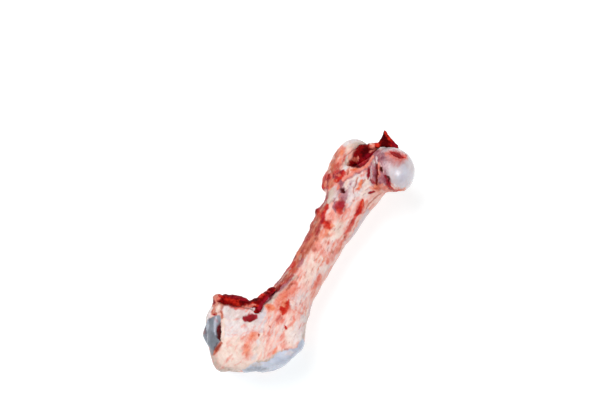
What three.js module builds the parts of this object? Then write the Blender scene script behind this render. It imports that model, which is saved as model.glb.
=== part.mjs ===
// A raw pork femur as a butcher trims it, lying on its outer side: a left thigh bone with its hip ball, knob and knee
// end, and the scraps of muscle that the knife leaves on it.
// X runs up the bone to the hip, Y to the back of the leg and Z up from the table. All sizes are in millimetres.
import * as THREE from 'three';

// Driving dimensions
const AXIS_HEIGHT = 25;
const SHAFT_WIDTH = 27;
const SHAFT_DEPTH = 23;
const HIP_X = 70;
const HEAD_RADIUS = 16.8;
const NECK_RADIUS = 12.5;
const KNEE_X = -84;
const KNEE_WIDTH = 47;
const KNEE_RIM = 8;
const SCRAP_GAP = 0.6;
const BONE_CELL = 3;
const SCRAP_CELL = 1.5;

const point = (x, y, z) => new THREE.Vector3(x, y, z);
const { clamp, lerp, degToRad } = THREE.MathUtils;

// Fields: each is a function of a point that gives its distance from a surface, negative inside.

const ball = (centre, radius) => (p) => p.distanceTo(centre) - radius;

// An egg with three half-axes, turned by Euler angles in degrees.
function egg(centre, radii, turn = [0, 0, 0]) {
  const back = new THREE.Quaternion().setFromEuler(new THREE.Euler(...turn.map(degToRad))).invert();
  const local = new THREE.Vector3();
  return (p) => {
    local.copy(p).sub(centre).applyQuaternion(back).divide(radii);
    const k = local.length();
    const slope = local.divide(radii).length();
    return slope < 1e-9 ? -Math.min(radii.x, radii.y, radii.z) : (k * (k - 1)) / slope;
  };
}

// A rod with round ends, whose radius goes evenly from one end to the other.
function rod(start, end, startRadius, endRadius = startRadius) {
  const line = new THREE.Line3(start, end);
  const nearest = new THREE.Vector3();
  return (p) => {
    const t = clamp(line.closestPointToPointParameter(p, false), 0, 1);
    return p.distanceTo(line.at(t, nearest)) - lerp(startRadius, endRadius, t);
  };
}

// A ridge that follows several points, with a radius at each.
const ridge = (fillet, points, radii) =>
  join(fillet, ...points.slice(1).map((next, i) => rod(points[i], next, radii[i], radii[i + 1])));

// A plate that stands over an outline in plan, with a round rim. The outline joins the centres of its rounded corners.
function plate(corners, low, high, rim) {
  const middle = (low + high) / 2;
  return (p) => {
    let nearest = Infinity;
    let inside = false;
    corners.forEach(([ax, ay], i) => {
      const [bx, by] = corners[(i + 1) % corners.length];
      const t = clamp(((p.x - ax) * (bx - ax) + (p.y - ay) * (by - ay)) / ((bx - ax) ** 2 + (by - ay) ** 2), 0, 1);
      nearest = Math.min(nearest, Math.hypot(p.x - lerp(ax, bx, t), p.y - lerp(ay, by, t)));
      if (ay > p.y !== by > p.y && p.x < ax + ((p.y - ay) * (bx - ax)) / (by - ay)) inside = !inside;
    });
    const out = inside ? -nearest : nearest;
    const side = Math.abs(p.z - middle) - ((high - low) / 2 - rim);
    return Math.min(Math.max(out, side), 0) + Math.hypot(Math.max(out, 0), Math.max(side, 0)) - rim;
  };
}

// A leaf of even thickness over a triangle.
function leaf(corners, thickness) {
  const triangle = new THREE.Triangle(...corners);
  const nearest = new THREE.Vector3();
  return (p) => p.distanceTo(triangle.closestPointToPoint(p, nearest)) - thickness / 2;
}

// Two fields joined with a soft fillet of about the size given.
function blendMin(a, b, fillet) {
  const h = Math.max(fillet - Math.abs(a - b), 0) / fillet;
  return Math.min(a, b) - (h * h * fillet) / 4;
}
function join(fillet, ...fields) {
  return (p) => fields.map((f) => f(p)).reduce((a, b) => blendMin(a, b, fillet));
}
const cut = (fillet, field, tool) => (p) => -blendMin(-field(p), tool(p), fillet);

// Lumps and folds of torn fibre: a surface pushed in and out by a few crossing waves.
const torn = (field, depth, length) => (p) => field(p)
  + depth * Math.sin(p.x / length + 1.3 * Math.sin(p.y / length)) * Math.sin(p.y / length + p.z / length);

// The hip end: the ball on its neck, the knob beside it, the pit between them and the crest that runs down the back
const head = point(HIP_X, -20.6, 44);
const pitCentre = point(HIP_X + 2.5, 2.5, 37);
const pitTurn = [0, 0, -27];

function hipEnd() {
  const neck = join(
    6,
    rod(point(HIP_X - 17, -5, 28), head, 15, NECK_RADIUS),
    rod(point(HIP_X - 14, -2, 33), point(HIP_X - 1, -13, 41), 10.5, 11),
  );
  const flare = rod(point(HIP_X - 45, -4, AXIS_HEIGHT + 1), point(HIP_X - 14, -11, 33), 12, 10);
  const knob = join(
    7,
    egg(point(HIP_X + 1, 11, 19), point(14.5, 11.5, 19.7)),
    egg(point(HIP_X - 12, 11, 19), point(17, 11, 16)),
  );
  const saddle = rod(point(HIP_X + 3, -12, 33), point(HIP_X + 5, 8, 22), 8.5, 9);
  const crest = ridge(4, [
    point(HIP_X + 9, -8, 42),
    point(HIP_X - 3, -2, 42),
    point(HIP_X - 15, 5, 38),
    point(HIP_X - 30, 9, 31),
    point(HIP_X - 48, 8, 29),
  ], Array(5).fill(4.5));
  const lesserKnob = egg(point(HIP_X - 36, 0, 34), point(8, 6, 6));
  const backLumps = [
    egg(point(HIP_X - 23.5, 17.5, 20), point(5.5, 4.5, 5)),
    egg(point(HIP_X - 16, 15.5, 27), point(5, 4, 4.5)),
  ];
  const solid = join(7, neck, flare, knob, saddle, crest, lesserKnob);
  const pitted = cut(3, solid, egg(pitCentre, point(13, 7.5, 12), pitTurn));
  return join(1.5, join(3, pitted, ...backLumps), ball(head, HEAD_RADIUS));
}

// The shaft: broader than it is deep, with a flatter back between two edges and a strip of lumps along the inner one
function shaft() {
  const depth = SHAFT_DEPTH / 2;
  const spread = (SHAFT_WIDTH - SHAFT_DEPTH) / 2;
  const front = rod(point(-50, -spread, AXIS_HEIGHT), point(HIP_X - 20, -spread - 3, AXIS_HEIGHT), depth);
  const back = rod(point(-50, spread, AXIS_HEIGHT), point(HIP_X - 20, spread, AXIS_HEIGHT), depth);
  const edges = [-1, 1].map((side) => rod(
    point(-42, 8, AXIS_HEIGHT + side * 8),
    point(40, 7.5, AXIS_HEIGHT + side * 5),
    5.5,
  ));
  const lumps = [0, 1, 2, 3, 4].map((i) => egg(
    point(29 - 13.5 * i, 10.2, 29 + (i % 2)),
    point(5 + (i % 3), 3.2, 3.6),
  ));
  return join(3, join(4, front, back, ...edges), ...lumps);
}

// The knee end: an inner and an outer plate whose rims are the two rollers behind and below and the two edges of the
// pulley in front, on a smaller core that makes the groove between them. Gristle stands at its inner back corner.
const kneeCorners = [
  [KNEE_X + 13, 35],
  [KNEE_X + 6, 37.5],
  [KNEE_X - 7.5, 28.5],
  [KNEE_X - 16.8, 19.5],
  [KNEE_X - 11, 7.5],
  [KNEE_X - 3, -4.5],
  [KNEE_X + 6, -12.5],
  [KNEE_X + 16, -14],
  [KNEE_X + 28.5, -8],
  [KNEE_X + 26, 12],
  [KNEE_X + 18, 25],
];

function kneeEnd() {
  const middle = KNEE_WIDTH / 2;
  const inner = plate(kneeCorners, middle + 1, KNEE_WIDTH - 1.5, KNEE_RIM);
  const outerCorners = kneeCorners.map(([x, y]) => [lerp(x, KNEE_X + 6, 0.12) + 1, lerp(y, 14, 0.06) + 1.5]);
  const outer = plate(outerCorners, 3, middle - 2, KNEE_RIM);
  const core = plate(kneeCorners.map(([x, y]) => [lerp(x, KNEE_X + 8, 0.25), lerp(y, 10, 0.25)]), 6, 42, KNEE_RIM - 2);
  const innerBoss = egg(point(KNEE_X + 2, 13, KNEE_WIDTH - 11), point(24, 22, 12.5));
  const outerBosses = [
    egg(point(KNEE_X, 23, 11.5), point(17, 15, 12.4)),
    egg(point(KNEE_X + 9, -3, 11.5), point(15, 12, 12.4)),
    egg(point(KNEE_X - 1.8, 37.5, 13), point(6.5, 8, 8)),
  ];
  const flare = rod(point(-28, 1.5, AXIS_HEIGHT), point(KNEE_X + 17, 9.5, AXIS_HEIGHT + 2.5), 10.3, 17);
  const gristle = rod(point(KNEE_X + 13, 37, 38), point(KNEE_X + 17.5, 43, 40.5), 6, 4.3);
  const solid = join(4, join(11, join(5, inner, outer, core, innerBoss, ...outerBosses), flare), gristle);
  const notch = rod(point(KNEE_X - 34, 34, middle), point(KNEE_X + 8, 54, middle), 8);
  return cut(3, solid, notch);
}

// The bone is cut level where it meets the table, so that it rests on flat spots.
function boneField() {
  const bone = join(8, shaft(), hipEnd(), kneeEnd());
  return (p) => Math.max(bone(p), -p.z);
}

// The dark muscle in the pit beside the ball
function fossaMeat() {
  return torn(join(
    3,
    egg(pitCentre.clone().add(point(0, 0, -4.5)), point(13, 7.6, 9.5), pitTurn),
    egg(pitCentre.clone().add(point(7, -2, 1.5)), point(7, 5, 4), pitTurn),
    egg(pitCentre.clone().add(point(-8, 4.5, -2)), point(6, 4.5, 4), pitTurn),
  ), 0.5, 1.8);
}

// The pointed flap of muscle that stands out behind the ball, with a lump at its root
function hipFlap() {
  const root = point(HIP_X + 12, 0, 42);
  return join(
    2,
    leaf([root, point(HIP_X + 17, -18, 44), point(HIP_X + 22, -4.5, 47)], 3.2),
    egg(root.clone().add(point(0, 0.5, 0.5)), point(3.8, 3.8, 4.2)),
    egg(point(HIP_X + 14, -8, 43), point(4, 6, 3.5)),
  );
}

// The ragged strip of muscle along the back of the knee end, with a tongue that hangs over the edge
function kneeMeat() {
  const strip = ridge(3, [
    point(KNEE_X + 17, 42, 45.5),
    point(KNEE_X + 19, 37.5, 44.6),
    point(KNEE_X + 21, 31.5, 44.4),
    point(KNEE_X + 22.7, 25.4, 45.4),
    point(KNEE_X + 23.7, 20.4, 46.4),
    point(KNEE_X + 27, 16.8, 46.4),
    point(KNEE_X + 32.4, 15.1, 44.5),
    point(KNEE_X + 40.2, 14.7, 39.4),
  ], [2.2, 2.8, 3.4, 3.2, 2.8, 3.4, 3.2, 2.6]);
  const tongue = rod(point(KNEE_X + 25.5, 17.5, 46.5), point(KNEE_X + 21.5, 14.6, 47.8), 3, 2.3);
  return torn(join(3, strip, tongue), 0.5, 2.3);
}

// Where the four grid corners of a square are in and out by turns, two sheets of skin would share an edge. The
// shallower of its inside corners is put outside.
function partPinches(values, strides) {
  for (let n = 0; n < values.length - strides[1] - strides[2]; n++)
    for (let axis = 0; axis < 3; axis++) {
      const u = strides[axis];
      const v = strides[(axis + 1) % 3];
      const ring = [n, n + u, n + u + v, n + v];
      const [a, b, c, d] = ring.map((m) => values[m] < 0);
      if (a !== c || b !== d || a === b) continue;
      const inside = a ? [ring[0], ring[2]] : [ring[1], ring[3]];
      const shallow = values[inside[0]] > values[inside[1]] ? inside[0] : inside[1];
      values[shallow] = 0.01;
    }
}

// The skin of a field: a vertex in each grid cell that the surface crosses, moved onto the surface, and a quad
// across each grid edge that it crosses.
function skin(field, bounds, cell) {
  const box = bounds.clone().expandByScalar(cell * 1.5);
  const low = box.min;
  const counts = box.getSize(new THREE.Vector3()).divideScalar(cell).ceil().addScalar(1).toArray();
  const [nx, ny, nz] = counts;
  const strides = [1, nx, nx * ny];
  const corner = (i, j, k, target) => target.set(low.x + i * cell, low.y + j * cell, low.z + k * cell);
  const values = new Float64Array(nx * ny * nz);
  const p = new THREE.Vector3();
  for (let k = 0, n = 0; k < nz; k++)
    for (let j = 0; j < ny; j++)
      for (let i = 0; i < nx; i++, n++) values[n] = field(corner(i, j, k, p));

  partPinches(values, strides);

  const onSurface = (start) => {
    const probe = new THREE.Vector3();
    const slope = new THREE.Vector3();
    const place = start.clone();
    for (let round = 0; round < 4; round++) {
      const here = field(place);
      ['x', 'y', 'z'].forEach((axis) => {
        probe.copy(place)[axis] += 0.01;
        slope[axis] = (field(probe) - here) / 0.01;
      });
      place.addScaledVector(slope, -here / Math.max(slope.lengthSq(), 0.2));
    }
    place.sub(start).clampLength(0, cell * 0.5);
    return place.add(start);
  };

  const vertexOf = new Map();
  const positions = [];
  const faces = [];
  const edges = [];
  for (let c = 0; c < 8; c++)
    [1, 2, 4].forEach((bit) => { if (!(c & bit)) edges.push([c, c | bit]); });
  const cornerIndex = (n, c) => n + (c & 1) * strides[0] + ((c >> 1) & 1) * strides[1] + ((c >> 2) & 1) * strides[2];
  for (let k = 0; k < nz - 1; k++)
    for (let j = 0; j < ny - 1; j++)
      for (let i = 0; i < nx - 1; i++) {
        const n = i + j * strides[1] + k * strides[2];
        const mean = new THREE.Vector3();
        let crossings = 0;
        for (const [a, b] of edges) {
          const va = values[cornerIndex(n, a)];
          const vb = values[cornerIndex(n, b)];
          if (va < 0 === vb < 0) continue;
          const t = va / (va - vb);
          mean.x += lerp(a & 1, b & 1, t);
          mean.y += lerp((a >> 1) & 1, (b >> 1) & 1, t);
          mean.z += lerp((a >> 2) & 1, (b >> 2) & 1, t);
          crossings++;
        }
        if (!crossings) continue;
        mean.divideScalar(crossings).multiplyScalar(cell).add(corner(i, j, k, p));
        vertexOf.set(n, positions.length / 3);
        positions.push(...onSurface(mean).toArray());
      }
  for (let k = 1; k < nz - 1; k++)
    for (let j = 1; j < ny - 1; j++)
      for (let i = 1; i < nx - 1; i++) {
        const n = i + j * strides[1] + k * strides[2];
        for (let axis = 0; axis < 3; axis++) {
          const inside = values[n] < 0;
          if (inside === values[n + strides[axis]] < 0) continue;
          const u = strides[(axis + 1) % 3];
          const v = strides[(axis + 2) % 3];
          const ring = [n - u - v, n - v, n, n - u].map((m) => vertexOf.get(m));
          if (!inside) ring.reverse();
          faces.push(ring[0], ring[1], ring[2], ring[0], ring[2], ring[3]);
        }
      }
  const geometry = new THREE.BufferGeometry();
  geometry.setAttribute('position', new THREE.Float32BufferAttribute(positions, 3));
  geometry.setIndex(faces);
  geometry.computeVertexNormals();
  return geometry;
}

const boneMaterial = new THREE.MeshStandardMaterial({ name: 'bone', color: '#e9c9bb', roughness: 0.4, metalness: 0 });
const meatMaterial = new THREE.MeshStandardMaterial({ name: 'meat', color: '#6e0d10', roughness: 0.3, metalness: 0 });

const bone = boneField();
const clearOf = (other, scrap) => cut(1.5, scrap, (p) => other(p) - SCRAP_GAP);
const pitMeat = clearOf(bone, fossaMeat());
const flap = clearOf(pitMeat, clearOf(bone, hipFlap()));
const backMeat = clearOf(bone, kneeMeat());

const pieces = [
  ['femur', bone, new THREE.Box3(point(-116, -42, 0), point(92, 54, 64)), BONE_CELL, boneMaterial],
  ['fossa_meat', pitMeat, new THREE.Box3(point(54, -14, 18), point(94, 20, 56)), SCRAP_CELL, meatMaterial],
  ['hip_flap', flap, new THREE.Box3(point(72, -28, 30), point(100, 10, 56)), SCRAP_CELL, meatMaterial],
  ['knee_meat', backMeat, new THREE.Box3(point(-78, 6, 24), point(-32, 54, 56)), SCRAP_CELL, meatMaterial],
];

const laid = new THREE.Group();
for (const [name, field, bounds, cell, material] of pieces) {
  const mesh = new THREE.Mesh(skin(field, bounds, cell), material);
  mesh.name = name;
  laid.add(mesh);
}

// The origin is on the table, under the middle of the whole.
const extent = new THREE.Box3().setFromObject(laid);
const middle = extent.getCenter(new THREE.Vector3());
laid.position.set(-middle.x, -middle.y, -extent.min.z);

const part = new THREE.Group();
part.add(laid);
export default part;
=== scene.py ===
# %% [markdown]
# # A raw pork femur
# A butcher lifts the muscle off a thigh bone and leaves what clings to it: the thin skin of the bone, silvery
# sheets and sinews, bluish white cartilage on the joints, and scraps of dark red muscle in the hollows.
# The solid model already has every form at its real size. This script dresses it: it gives each solid a fine skin,
# lays the tissues on it as a painter would, presses folds and slits into it, and shows it on a pale studio floor.

# %% Load the solid model
import math
import random

import bmesh
import bpy
import numpy as np
from mathutils import Matrix, Vector, noise
from mathutils.bvhtree import BVHTree


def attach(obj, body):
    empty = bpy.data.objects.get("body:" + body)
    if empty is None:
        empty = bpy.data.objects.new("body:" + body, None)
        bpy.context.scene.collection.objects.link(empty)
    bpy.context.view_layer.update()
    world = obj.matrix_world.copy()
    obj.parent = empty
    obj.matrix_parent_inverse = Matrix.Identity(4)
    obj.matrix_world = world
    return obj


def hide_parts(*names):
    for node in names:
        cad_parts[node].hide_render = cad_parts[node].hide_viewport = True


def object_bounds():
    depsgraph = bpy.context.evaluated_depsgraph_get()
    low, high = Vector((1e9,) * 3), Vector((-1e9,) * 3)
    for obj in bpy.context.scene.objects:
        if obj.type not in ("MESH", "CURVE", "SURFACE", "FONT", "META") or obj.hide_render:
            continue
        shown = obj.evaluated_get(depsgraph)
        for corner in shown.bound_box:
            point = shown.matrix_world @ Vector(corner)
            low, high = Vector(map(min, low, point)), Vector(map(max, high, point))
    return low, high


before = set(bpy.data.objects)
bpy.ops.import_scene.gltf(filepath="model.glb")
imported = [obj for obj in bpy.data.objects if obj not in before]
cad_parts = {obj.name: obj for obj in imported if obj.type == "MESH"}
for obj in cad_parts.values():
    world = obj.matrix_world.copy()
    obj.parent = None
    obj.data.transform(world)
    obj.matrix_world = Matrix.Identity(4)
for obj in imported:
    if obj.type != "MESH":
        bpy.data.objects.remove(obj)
cad_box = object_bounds()
MM = 0.001
print("solids:", sorted(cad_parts))

# %% [markdown]
# ## The camera
# The bone lies on its side and is seen from almost straight above with a long lens. The view is fixed by three real
# facts: the direction of view, the size of a pixel at the middle of the shaft, and where that middle shows.
# The camera comes first, because the marks on the bone are placed through it: a line of sight through a pixel
# meets the bone where the mark goes.

# %% Make the camera
FRAME_SIZE = (595, 400)
LENS_MM = 100
SENSOR_MM = 36
AZIMUTH = math.radians(-62)
ELEVATION = math.radians(75)
PIXEL_SIZE = 0.704 * MM
MID_SHAFT = Vector((7.8, -4.9, 25)) * MM
MID_SHAFT_PIXEL = (318.2, 250)

towards_eye = Vector((
    math.sin(AZIMUTH) * math.cos(ELEVATION),
    -math.cos(AZIMUTH) * math.cos(ELEVATION),
    math.sin(ELEVATION),
))
picture_right = Vector((math.cos(AZIMUTH), math.sin(AZIMUTH), 0))
picture_up = towards_eye.cross(picture_right)
focal_pixels = LENS_MM / SENSOR_MM * FRAME_SIZE[0]


def in_picture(u, v):
    """The step from the picture's middle to a pixel, in pixels along the picture's own directions."""
    return picture_right * (u - FRAME_SIZE[0] / 2) + picture_up * (FRAME_SIZE[1] / 2 - v)


eye = MID_SHAFT + (towards_eye * focal_pixels - in_picture(*MID_SHAFT_PIXEL)) * PIXEL_SIZE
camera = bpy.data.objects.new("camera", bpy.data.cameras.new("camera"))
camera.data.lens = LENS_MM
camera.data.sensor_width = SENSOR_MM
camera.matrix_world = Matrix.LocRotScale(
    eye, Matrix((picture_right, picture_up, towards_eye)).transposed().to_quaternion(), None)
bpy.context.scene.collection.objects.link(camera)
bpy.context.scene.camera = camera
print("the eye is", [round(x, 3) for x in eye])

# %% [markdown]
# ## Helpers for materials
# A material is a small net of nodes. One function adds a node with its settings and its inputs, and an input can be
# a number, a colour or another node's output. Colours are written as the hex values that a screen shows, and
# turned into the linear values that the renderer works with.

# %% Add nodes and colours
def add(tree, kind, inputs=None, **settings):
    """Adds a shader node with its settings, and sets or links its inputs."""
    made = tree.nodes.new("ShaderNode" + kind)
    for name, value in settings.items():
        setattr(made, name, value)
    for socket, value in (inputs or {}).items():
        if isinstance(value, bpy.types.NodeSocket):
            tree.links.new(value, made.inputs[socket])
        else:
            made.inputs[socket].default_value = value
    return made


def colour(code):
    """A hex colour as linear red, green, blue and alpha."""
    channels = [int(code[i:i + 2], 16) / 255 for i in (1, 3, 5)]
    return [c / 12.92 if c <= 0.04045 else ((c + 0.055) / 1.055) ** 2.4 for c in channels] + [1]


def per_mm(size):
    """The scale that gives a noise pattern blotches of about this size in millimetres."""
    return 1 / (size * MM)


# %% [markdown]
# ## Tissues
# Raw bone is a patchwork of tissues, each with its own colour, gloss and roughness. Each tissue gets two colours
# that a noise pattern mixes, the pattern, how rough it shines and how bumpy it is. Fresh bone skin
# is cream and salmon, silverskin is white with a lilac tint, and joint cartilage is smooth and bluish. Meat that
# has met the air is almost black red, and brighter where it is cut. Two entries are partly painted shade: the
# almost black red also darkens slits, holes, hollows and undersides, and the grey cartilage is cartilage
# darkened where it turns away from the light.

# %% List the tissues
TISSUES = {
    # name: (deep colour, light colour, pattern, roughness, bump)
    "bone": ("#e9a597", "#f6d5cb", "streaks", 0.38, 0.8),
    "salmon": ("#dc6a5a", "#f0a08f", "blotches", 0.36, 0.9),
    "orange": ("#dd6440", "#f09a78", "blotches", 0.34, 0.9),
    "raw": ("#a80c08", "#dc3420", "blotches", 0.3, 1.0),
    "crimson": ("#7c0418", "#ae182c", "blotches", 0.28, 0.9),
    "meat": ("#5c0003", "#900609", "specks", 0.5, 1.1),
    "brown": ("#a5402f", "#d18068", "streaks", 0.4, 1.2),
    "purple": ("#883f4f", "#be8089", "blotches", 0.3, 0.9),
    "sinew": ("#b89e90", "#dccabe", "streaks", 0.3, 0.8),
    "silverskin": ("#d8c3c4", "#ece1df", "blotches", 0.28, 0.8),
    "fat": ("#e8c9bc", "#f6e2d8", "blotches", 0.36, 0.9),
    "pearl": ("#c2b0b4", "#dacdd1", "clouds", 0.2, 0.05),
    "cartilage": ("#b6bcce", "#d8dcea", "clouds", 0.22, 0.1),
    # grey cartilage: cartilage darkened as painted shade where it turns from the light
    "slate": ("#646c74", "#8c919c", "clouds", 0.3, 0.3),
    # almost black red: dark meat, and also painted shade in slits, holes, hollows and undersides
    "dark": ("#340003", "#5c0206", "specks", 0.7, 0.6),
}


def noise_patterns(tree):
    """The shared patterns that the tissues choose from, each scaled by a real size in millimetres."""
    place = add(tree, "TexCoord").outputs["Object"]
    along = add(tree, "Mapping", {"Vector": place, "Scale": (0.25, 1, 1)}).outputs[0]
    sizes = {"blotches": (place, 3.5), "streaks": (along, 2.5), "specks": (place, 1.2), "clouds": (place, 12)}
    made = {}
    for name, (vector, size) in sizes.items():
        pattern = add(tree, "TexNoise", {"Vector": vector, "Scale": per_mm(size), "Detail": 4, "Roughness": 0.6})
        made[name] = add(tree, "MapRange", {
            "Value": pattern.outputs["Fac"], "From Min": 0.34, "From Max": 0.66}).outputs[0]
    edges = add(tree, "TexNoise", {"Vector": along, "Scale": per_mm(1.6), "Detail": 3, "Roughness": 0.7})
    made["edges"] = add(tree, "SeparateColor", {"Color": edges.outputs["Color"]}).outputs
    return made


def tissue_material(name, tissues, crisp, gloss, wet, shine="#ffffff"):
    """A damp surface where tissues compete: each one's share is shaken by its own noise and raised to a power, so
    that borders are crisp and torn where the power is high, and melt into each other where it is near one."""
    material = bpy.data.materials.new(name)
    material.use_nodes = True
    tree = material.node_tree
    shader = tree.nodes["Principled BSDF"]
    patterns = noise_patterns(tree)
    totals = {"weight": 0, "colour": (0, 0, 0), "roughness": 0, "bump": 0}
    for number, tissue in enumerate(tissues):
        deep, light, pattern, rough, bumpy = TISSUES[tissue]
        share = add(tree, "Attribute", attribute_name=tissue).outputs["Fac"]
        shake = add(tree, "MapRange", {
            "Value": patterns["edges"][number % 3], "From Min": 0.3, "From Max": 0.7,
            "To Min": 0.4, "To Max": 1.6}).outputs[0]
        shaken = add(tree, "Math", {0: share, 1: shake}, operation="MULTIPLY").outputs[0]
        weight = add(tree, "Math", {0: shaken, 1: crisp}, operation="POWER").outputs[0]
        # A Mix node has one set of sockets for each kind of value: those for colours are numbers 6 and 7.
        tint = add(tree, "Mix", {
            0: patterns[pattern], 6: colour(deep), 7: colour(light)}, data_type="RGBA").outputs[2]
        amount = add(tree, "VectorMath", {0: tint, "Scale": weight}, operation="SCALE").outputs[0]
        totals = {
            "weight": add(tree, "Math", {0: weight, 1: totals["weight"]}, operation="ADD").outputs[0],
            "colour": add(tree, "VectorMath", {0: amount, 1: totals["colour"]}, operation="ADD").outputs[0],
            "roughness": add(tree, "Math", {
                0: weight, 1: rough, 2: totals["roughness"]}, operation="MULTIPLY_ADD").outputs[0],
            "bump": add(tree, "Math", {0: weight, 1: bumpy, 2: totals["bump"]}, operation="MULTIPLY_ADD").outputs[0],
        }
    part = add(tree, "Math", {0: 1, 1: totals["weight"]}, operation="DIVIDE").outputs[0]
    mixed = add(tree, "VectorMath", {0: totals["colour"], "Scale": part}, operation="SCALE").outputs[0]
    roughness = add(tree, "Math", {0: totals["roughness"], 1: part}, operation="MULTIPLY").outputs[0]
    bump = add(tree, "Math", {0: totals["bump"], 1: part}, operation="MULTIPLY").outputs[0]
    grain = add(tree, "Math", {0: patterns["specks"], 1: patterns["streaks"]}, operation="ADD").outputs[0]
    relief = add(tree, "Math", {0: grain, 1: bump}, operation="MULTIPLY").outputs[0]
    bumped = add(tree, "Bump", {"Height": relief, "Strength": 0.5, "Distance": 0.25 * MM}).outputs[0]
    tree.links.new(mixed, shader.inputs["Base Color"])
    tree.links.new(roughness, shader.inputs["Roughness"])
    tree.links.new(bumped, shader.inputs["Normal"])
    shader.inputs["IOR"].default_value = 1.33
    shader.inputs["Subsurface Weight"].default_value = 0.15
    shader.inputs["Subsurface Radius"].default_value = (1, 0.35, 0.25)
    shader.inputs["Subsurface Scale"].default_value = 0.8 * MM
    shader.inputs["Specular IOR Level"].default_value = gloss
    shader.inputs["Specular Tint"].default_value = colour(shine)
    shader.inputs["Coat Weight"].default_value = wet
    shader.inputs["Coat Roughness"].default_value = 0.25
    return material


# %% [markdown]
# ## Fine skins
# A solid of a few thousand flat triangles is too coarse for wet tissue. A voxel remesh lays an even skin of small
# quads over a copy of it, and a smoothing modifier rounds the old facets away. Sculpting by hand would give the
# same form, but a script can repeat this one, and the form stays where the solid is.

# %% Skin a solid
def apply_modifiers(piece):
    """Puts the result of a piece's modifiers in its mesh."""
    depsgraph = bpy.context.evaluated_depsgraph_get()
    mesh = bpy.data.meshes.new_from_object(piece.evaluated_get(depsgraph))
    piece.modifiers.clear()
    piece.data = mesh


def new_piece(name, mesh):
    piece = bpy.data.objects.new(name, mesh)
    bpy.context.scene.collection.objects.link(piece)
    return piece


def fine_skin(node, name, voxel, rounds):
    """A fine, even skin over a copy of a solid. The voxel is in millimetres."""
    piece = new_piece(name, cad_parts[node].data.copy())
    piece.data.materials.clear()
    bm = bmesh.new()
    bm.from_mesh(piece.data)
    bmesh.ops.remove_doubles(bm, verts=bm.verts, dist=0.001 * MM)
    bm.to_mesh(piece.data)
    bm.free()
    remesh = piece.modifiers.new("even skin", "REMESH")
    remesh.mode = "VOXEL"
    remesh.voxel_size = voxel * MM
    smooth = piece.modifiers.new("rounded facets", "SMOOTH")
    smooth.factor = 0.5
    smooth.iterations = rounds
    apply_modifiers(piece)
    print(name, "has", len(piece.data.vertices), "vertices")
    return piece


femur = fine_skin("femur", "bone", 0.66, 20)

# %% [markdown]
# ## Painting with tissues
# A mark is a tissue, a half width, a path and, if it is a fold or a slit, a height. The path is written in
# pixels of the view, because that is where the eye finds it. Every vertex of the skin knows the pixel where
# it shows, a little shaken by noise, so that a mark has the frayed border of torn tissue. A mark covers what lies
# under it, as paint does, and fades out where the skin turns away from the eye. The shares of all tissues add up to
# one at every vertex, so that the material can weigh their colours.

# %% Know a skin's places
def ripple(points, size, seed):
    """Noise at each point, from about -1 to 1, with lumps of the given size in millimetres."""
    shift = Vector((seed * 7.3, seed * 3.1, seed * 5.7))
    return np.array([noise.noise(Vector(p) / size + shift) for p in points])


def pixels_of(points):
    """The pixel where each place in millimetres shows."""
    sight = points * MM - np.array(eye)
    depth = -sight @ np.array(towards_eye) / focal_pixels
    right = FRAME_SIZE[0] / 2 + sight @ np.array(picture_right) / depth
    down = FRAME_SIZE[1] / 2 - sight @ np.array(picture_up) / depth
    return np.stack([right, down], axis=1)


def depth_under_skin(points, tree):
    """How far each place lies behind the first surface on its line of sight, in millimetres."""
    depths = np.zeros(len(points))
    for i, point in enumerate(points * MM):
        sight = Vector(point) - eye
        hit = tree.ray_cast(eye, sight)[0]
        if hit:
            depths[i] = (sight.length - (hit - eye).length) / MM
    return depths


def smooth_step(low, high, values):
    t = np.clip((values - low) / (high - low), 0, 1)
    return t * t * (3 - 2 * t)


def start_skin(piece, base):
    """What is known of a piece's skin while it is painted. Lengths are in millimetres."""
    count = len(piece.data.vertices)
    places = np.empty(count * 3)
    piece.data.vertices.foreach_get("co", places)
    normals = np.empty(count * 3)
    piece.data.vertex_normals.foreach_get("vector", normals)
    points = places.reshape(-1, 3) / MM
    bm = bmesh.new()
    bm.from_mesh(piece.data)
    tree = BVHTree.FromBMesh(bm)
    bm.free()
    shake = np.stack([ripple(points, 4, seed) + 0.7 * ripple(points, 1.5, seed + 5) for seed in (1, 2)], axis=1)
    return {
        "piece": piece,
        "points": points,
        "normals": normals.reshape(-1, 3),
        "tree": tree,
        "shares": {tissue: np.full(count, float(tissue == base)) for tissue in TISSUES},
        "height": np.zeros(count),
        "pixels": pixels_of(points) + 1.1 * shake,
        "seen": 1 - smooth_step(1.5, 6, depth_under_skin(points, tree)),
    }


# %% Lay marks on a skin
def distance_to_path(places, path):
    """Each place's distance to a path, and how far along the path the nearest spot is, from 0 to 1."""
    if len(path) == 1:
        return np.linalg.norm(places - path[0], axis=1), np.full(len(places), 0.5)
    lengths = [np.linalg.norm(end - start) for start, end in zip(path, path[1:])]
    nearest = np.full(len(places), np.inf)
    along = np.zeros(len(places))
    passed = 0
    for start, end, length in zip(path, path[1:], lengths):
        run = (end - start) / max(length, 1e-6)
        t = np.clip((places - start) @ run, 0, length)
        away = np.linalg.norm(places - start - t[:, None] * run, axis=1)
        along = np.where(away < nearest, (passed + t) / sum(lengths), along)
        nearest = np.minimum(nearest, away)
        passed += length
    return nearest, along


def inside_outline(places, outline):
    """Which places lie inside a closed outline in the picture."""
    inside = np.zeros(len(places), dtype=bool)
    x, y = places.T
    for (ax, ay), (bx, by) in zip(outline, np.roll(outline, -1, axis=0)):
        if ay != by:
            inside ^= ((ay > y) != (by > y)) & (x < ax + (y - ay) * (bx - ax) / (by - ay))
    return inside


def cover(skin, tissue, amount, height=0, spots=slice(None)):
    """Lays a tissue over the others by an amount from 0 to 1 at each of the spots."""
    for share in skin["shares"].values():
        share[spots] *= 1 - amount
    skin["shares"][tissue][spots] += amount
    skin["height"][spots] += height * amount


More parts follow.
